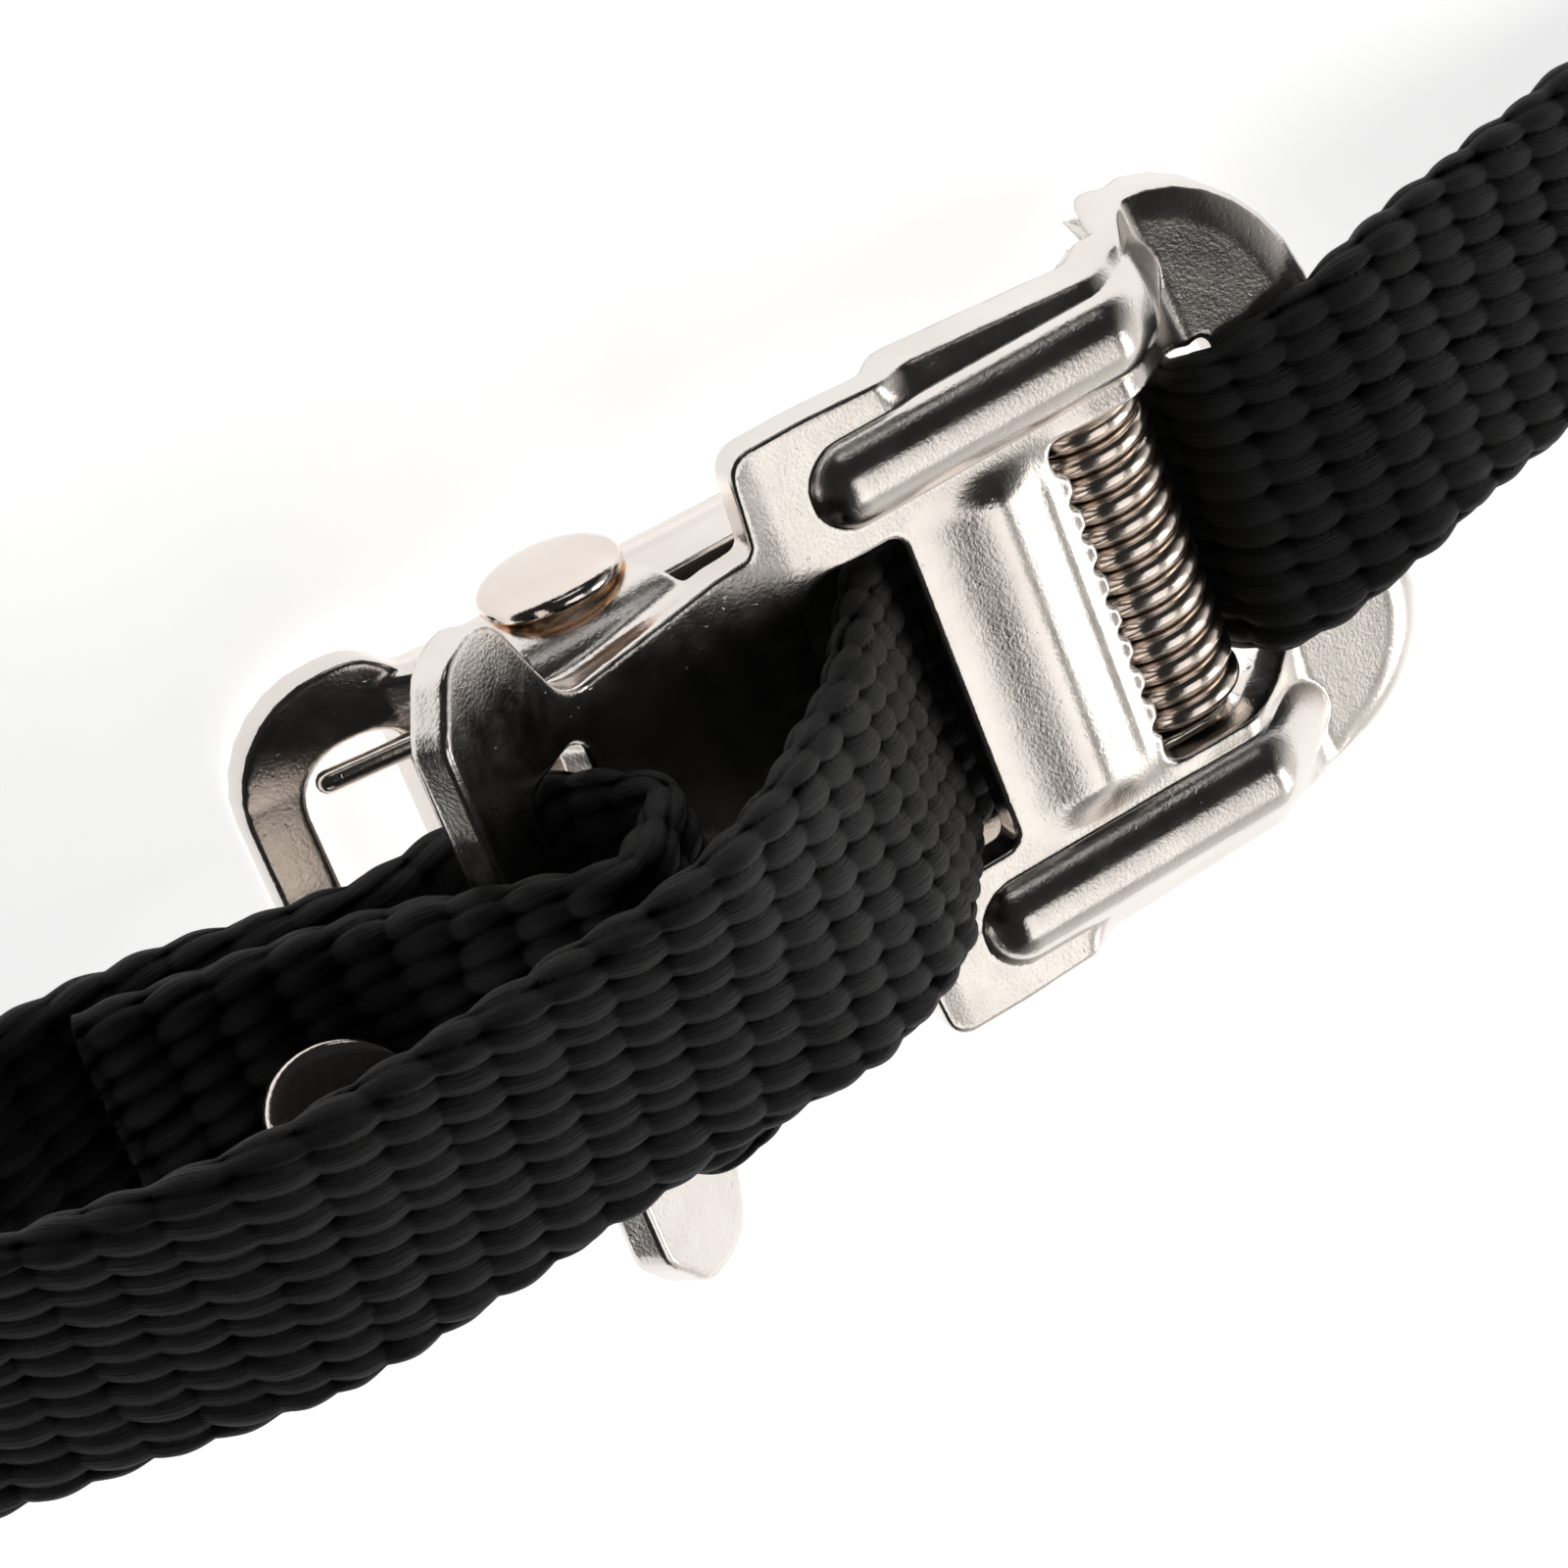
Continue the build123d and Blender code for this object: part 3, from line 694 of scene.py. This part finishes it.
def strap_mesh(name, line, run, part, roll, shift, seed, body, ends):
    """Webbing along an x, z line: a rounded flat section with every yarn float standing out of it.
    part is the first and last sample, roll and shift turn and move the section along the line."""
    lo, hi = part
    tangent = np.gradient(line, run, axis=0)
    tangent /= np.linalg.norm(tangent, axis=1)[:, None]
    line, run, tangent = line[lo:hi], run[lo:hi], tangent[lo:hi]
    y, z, ny, nz, yarn = strap_section()
    rows, count = len(run), len(yarn)
    height, across = weave_height(run[:, None], yarn[None, :], seed)
    height = np.clip(height, -0.1, 1.25)
    rib = np.cos(2 * math.pi * run[:, None] / RIB_PITCH)
    lift = -0.33 + 0.44 * height + np.abs(ny)[None, :] * (0.16 + 0.03 * rib - 0.26 * height)
    off_y = y[None, :] + ny[None, :] * lift
    off_z = z[None, :] + nz[None, :] * lift
    turned = roll(line[:, 0])[:, None]
    sideways = off_y * np.cos(turned) - off_z * np.sin(turned) + shift(line[:, 0])[:, None]
    outward = off_y * np.sin(turned) + off_z * np.cos(turned)
    normal = np.stack([-tangent[:, 1], tangent[:, 0]], 1) * (-1 if tangent[0, 0] < 0 else 1)
    x = line[:, :1] + normal[:, :1] * outward
    z = line[:, 1:] + normal[:, 1:] * outward
    verts = np.stack([x, sideways, z], -1).reshape(-1, 3)
    quads = tube_quads(rows, count)[:, [0, 3, 2, 1]]
    if tangent[0, 0] < 0:
        quads = quads[:, ::-1]
    strand = np.stack([np.repeat(run, count), np.tile(yarn, rows), across.reshape(-1)], 1)
    crest = np.clip(height, 0, 1).reshape(-1)
    verts, faces, strand, crest = close_ends(verts, quads, strand, crest, rows, count, tangent, ends)
    obj = new_mesh(name, verts, faces, webbing, body)
    attribute = obj.data.attributes.new("strand", "FLOAT_VECTOR", "POINT")
    attribute.data.foreach_set("vector", strand.astype(np.float32).ravel())
    # crest is the float height; the webbing material darkens low points with it as painted crease shade.
    attribute = obj.data.attributes.new("crest", "FLOAT", "POINT")
    attribute.data.foreach_set("value", crest.astype(np.float32))
    return obj


CUT_END = ((0.93, 0.10), (0.8, 0.14), (0.5, 0.15), (0.2, 0.15), (0.004, 0.15))  # ring scale and push
JOINED_END = ((0.5, 0), (0.004, 0))


def close_ends(verts, quads, strand, crest, rows, count, tangent, ends):
    """Both ends closed by rings that shrink to a point: domed and rough where the strap is cut."""
    faces = [quads]
    rng = np.random.default_rng(3)
    j = np.arange(count)
    after = (j + 1) % count
    for is_cut, first in ((ends[0], True), (ends[1], False)):
        row = 0 if first else rows - 1
        ring = verts[row * count:(row + 1) * count]
        ring_strand = strand[row * count:(row + 1) * count]
        centre = ring.mean(0)
        out = np.array([tangent[row, 0], 0, tangent[row, 1]]) * (-1 if first else 1)
        previous = row * count + j
        flip = first == (tangent[0, 0] > 0)
        for scale, push in CUT_END if is_cut else JOINED_END:
            rough = rng.uniform(-0.04, 0.04, count)[:, None] if is_cut and scale > 0.1 else 0
            start = len(verts)
            verts = np.concatenate([verts, centre + (ring - centre) * scale + out * (push + rough)])
            strand = np.concatenate([strand, ring_strand])
            # The closing rings get a crest of 0.3, so the painted crease shade darkens them partly.
            crest = np.concatenate([crest, np.full(count, 0.3)])
            quad = np.stack([previous[j], previous[after], start + after, start + j], 1)
            faces.append(quad if flip else quad[:, ::-1])
            previous = start + j
    return verts, np.concatenate(faces), strand, crest


def webbing_material():
    """Black filament yarn: fine fibres along each slanted float, with painted shade that darkens the creases
    between them to near black.
    """
    n = Nodes("black_webbing")
    strand = n.add("ShaderNodeAttribute", attribute_name="strand").outputs["Vector"]
    crest = n.add("ShaderNodeAttribute", attribute_name="crest").outputs["Fac"]
    slanted = n.add("ShaderNodeMapping", Vector=strand, Rotation=(0, 0, -0.28)).outputs[0]
    fibres = n.noise(6.0, 4.0, 0.65, slanted, (0.22, 3.4, 2.4))
    coarse = n.noise(2.4, 2.0, 0.5, slanted, (0.25, 2.6, 1.6))
    blotch = n.noise(0.9, 3.0, 0.5, strand)
    weight = n.add("ShaderNodeMath", operation="MULTIPLY", i0=blotch, i1=0.4).outputs[0]
    mix = n.add("ShaderNodeMath", operation="MULTIPLY_ADD", i0=fibres, i1=0.6, i2=weight).outputs[0]
    colour = n.ramp(mix, [(0.28, (0.0008, 0.0008, 0.0009)), (0.52, (0.0026, 0.0026, 0.0029)),
                          (0.74, (0.010, 0.010, 0.0105))])
    # Painted shade: the base colour is multiplied down to 0.12 where the float crest is low, in the creases
    # between floats.
    crease_shade = n.add("ShaderNodeMix", data_type="RGBA", blend_type="MULTIPLY", i0=1.0, i6=colour,
                 i7=n.ramp(crest, [(0.05, (0.12,) * 3), (0.45, (0.6,) * 3), (0.8, (1.0,) * 3)]))
    n.link(crease_shade.outputs[2], "Base Color")
    n.link(n.ramp(fibres, [(0.3, (0.38,) * 3), (0.7, (0.6,) * 3)]), "Roughness")
    n.link(n.ramp(crest, [(0.15, (0.0,) * 3), (0.75, (0.24,) * 3)]), "Specular IOR Level")
    n.shader.inputs["Sheen Weight"].default_value = 0.012
    n.shader.inputs["Sheen Roughness"].default_value = 0.35
    n.link(n.bump(coarse, 0.7, 0.0001, n.bump(fibres, 0.9, 0.00007)), "Normal")
    return n.material


webbing = webbing_material()
WRAP = COIL_R + WEB_THICK / 2 + 0.14         # radius of the strap's middle line round the coil
COIL_FOOT = ROLLER[1] - WRAP                 # that line under the coil
TAIL_Z = lever_box[0][2] - ORIGIN[2] + WEB_THICK / 2

# Routes are x, z and the radius of each corner, from one free end to the other.
running_route = open_route([
    (37.5, TAIL_Z, 0), (34.5, TAIL_Z, 5.0), (26.0, -4.4, 6.0), (15.6, -1.3, 4.0),
    (ROLLER[0] + WRAP, -1.3, 1.2), (ROLLER[0] + WRAP, COIL_FOOT, WRAP - 0.02), (6.34, COIL_FOOT, WRAP - 0.02),
    (-0.55, -2.0, 1.2), (-4.6, 4.6, 6.0), (-8.8, 7.95, 5.0), (-12.4, 9.2, 6.0), (-18.5, 9.7, 8.0),
    (-25.8, 10.1, 8.0), (-41.0, 3.7, 0)])
line, run = smooth_line(running_route, 0.45)
under_coil = int(np.argmin(np.where(line[:, 1] < -4.5, np.abs(line[:, 0] - ROLLER[0]), 99)))


def running_roll(x):
    """The running strap lies tilted where it crosses the lip and beyond."""
    return math.radians(20) * smoothstep(-x, 4.5, 14.0)


def running_shift(x):
    """How far it lies towards +y, on both sides of the buckle."""
    return 0.8 * smoothstep(x, 11.0, 18.0) + 0.4 * smoothstep(-x, 4.5, 14.0)


# The running strap is two pieces that meet under the coil.
strap_tail = strap_mesh("running_strap_tail", line, run, (0, under_coil + 1), running_roll, running_shift,
                        11, None, (True, False))
strap_end = strap_mesh("running_strap_end", line, run, (under_coil, len(run)), running_roll, running_shift,
                       11, None, (False, True))
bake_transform(strap_tail)
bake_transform(strap_end)
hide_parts("running_strap")
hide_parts("running_strap")

FIXED_Y = -0.2           # the loop's middle, sideways
fixed_route = open_route([
    (-38.0, -3.5, 0), (-28.0, -2.6, 6.0), (-24.5, -2.0, 5.0), (-18.2, 1.0, 3.0), (-12.4, 0.55, 1.3),
    (-10.2, 4.6, 1.3), (-13.0, 7.75, 1.15), (-19.3, 2.4, 5.0), (-26.5, -0.6, 0)])
fixed_line, fixed_run = smooth_line(fixed_route, 0.35)
fixed = strap_mesh("fixed_strap_loop", fixed_line, fixed_run, (0, len(fixed_run)), np.zeros_like,
                   lambda x: np.full_like(x, FIXED_Y), 12, "frame", (True, True))
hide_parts("fixed_strap")


# ---- floor, light and camera ----

def row_point(point):
    return Vector(to_row(point))


def placed(obj, side, top, back, at):
    """Puts a light or camera at a point with its own x, y and z axes along three directions."""
    obj.matrix_world = Matrix((
        (side.x, top.x, back.x, at.x), (side.y, top.y, back.y, at.y), (side.z, top.z, back.z, at.z),
        (0, 0, 0, 1)))


floor_mesh = bpy.data.meshes.new("floor")
HALF_FLOOR = 2.0         # metres
corners = [(sx * HALF_FLOOR, sy * HALF_FLOOR, 0) for sx, sy in ((-1, -1), (1, -1), (1, 1), (-1, 1))]
floor_mesh.from_pydata(corners, [], [(0, 1, 2, 3)])
floor = bpy.data.objects.new("floor", floor_mesh)
bpy.context.scene.collection.objects.link(floor)
paper = Nodes("white_paper")
paper_tone = paper.ramp(paper.noise(900.0, 4.0), [(0.3, (0.86, 0.86, 0.86)), (0.7, (0.9, 0.9, 0.9))])
paper.link(paper_tone, "Base Color")
paper.shader.inputs["Roughness"].default_value = 0.8
paper.shader.inputs["Emission Color"].default_value = (1, 1, 1, 1)
paper.shader.inputs["Emission Strength"].default_value = 0.8
floor_mesh.materials.append(paper.material)

world = bpy.data.worlds.new("studio")
world.use_nodes = True
sky = world.node_tree


def sky_node(kind, **values):
    node = sky.nodes.new(kind)
    for key, value in values.items():
        setattr(node, key, value)
    return node


def facing(direction, stops):
    """Brightness of the room by how far a direction points towards one side."""
    coords = sky_node("ShaderNodeTexCoord")
    dot = sky_node("ShaderNodeVectorMath", operation="DOT_PRODUCT")
    sky.links.new(coords.outputs["Generated"], dot.inputs[0])
    dot.inputs[1].default_value = Vector(direction).normalized()
    ramp = sky_node("ShaderNodeValToRGB")
    sky.links.new(dot.outputs["Value"], ramp.inputs[0])
    while len(ramp.color_ramp.elements) < len(stops):
        ramp.color_ramp.elements.new(0.5)
    for element, (at, level) in zip(ramp.color_ramp.elements, stops):
        element.position = at
        element.color = (level, level * 0.985, level * 0.96, 1)
    return ramp.outputs[0]


wall_side = facing((0.75, -0.62, -0.05), [(0.2, 0.02), (0.55, 0.25), (0.85, 0.75)])
low = facing((0, 0, -1), [(0.0, 0.0), (0.02, 0.5)])
room = sky_node("ShaderNodeMix", data_type="RGBA", blend_type="LIGHTEN")
room.inputs[0].default_value = 1.0
sky.links.new(wall_side, room.inputs[6])
sky.links.new(low, room.inputs[7])
sky.links.new(room.outputs[2], sky.nodes["Background"].inputs[0])
sky.nodes["Background"].inputs[1].default_value = 1.0
bpy.context.scene.world = world


def softbox(name, direction, distance, width, length, radiance, colour=(1, 1, 1)):
    """An area light in that direction from the buckle, its width level along x, of that brightness."""
    lamp = bpy.data.lights.new(name, "AREA")
    lamp.shape = "RECTANGLE"
    lamp.size, lamp.size_y = width / 1000, length / 1000
    lamp.energy = radiance * math.pi * width * length / 1e6
    lamp.color = colour
    obj = bpy.data.objects.new(name, lamp)
    bpy.context.scene.collection.objects.link(obj)
    back = Vector(direction).normalized()
    side = (Vector((1, 0, 0)) - back * back.x).normalized()
    top = back.cross(side)
    placed(obj, side, top, back, row_point((0, 0, 0)) + back * distance / 1000)


WARM = (1.0, 0.985, 0.96)
softbox("softbox_top", (0.12, -0.34, 0.94), 500, 265, 566, 1.1, WARM)
softbox("softbox_right", (0.74, -0.40, 0.55), 500, 190, 480, 1.5, WARM)
softbox("softbox_back", (0.1, 0.93, 0.36), 600, 300, 100, 0.7)

LOOK_AT = (-5.7, 0.0, -0.6)
TOWARDS_CAMERA = Vector((-0.259, 0.448, 0.855)).normalized()
CAMERA_UP = Vector((0.483, 0.827, -0.288))
CAMERA_DISTANCE = 0.164
camera_data = bpy.data.cameras.new("camera")
camera_data.lens = 135.0
camera_data.sensor_width = 36.0
camera_data.clip_start = 0.01
camera = bpy.data.objects.new("camera", camera_data)
bpy.context.scene.collection.objects.link(camera)
right = CAMERA_UP.cross(TOWARDS_CAMERA).normalized()
up = TOWARDS_CAMERA.cross(right)
placed(camera, right, up, TOWARDS_CAMERA, row_point(LOOK_AT) + TOWARDS_CAMERA * CAMERA_DISTANCE)
bpy.context.scene.camera = camera
bpy.context.scene.view_settings.view_transform = "Standard"

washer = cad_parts["strap_rivet_washer"]
washer.data.materials.clear()
washer.data.materials.append(nickel)
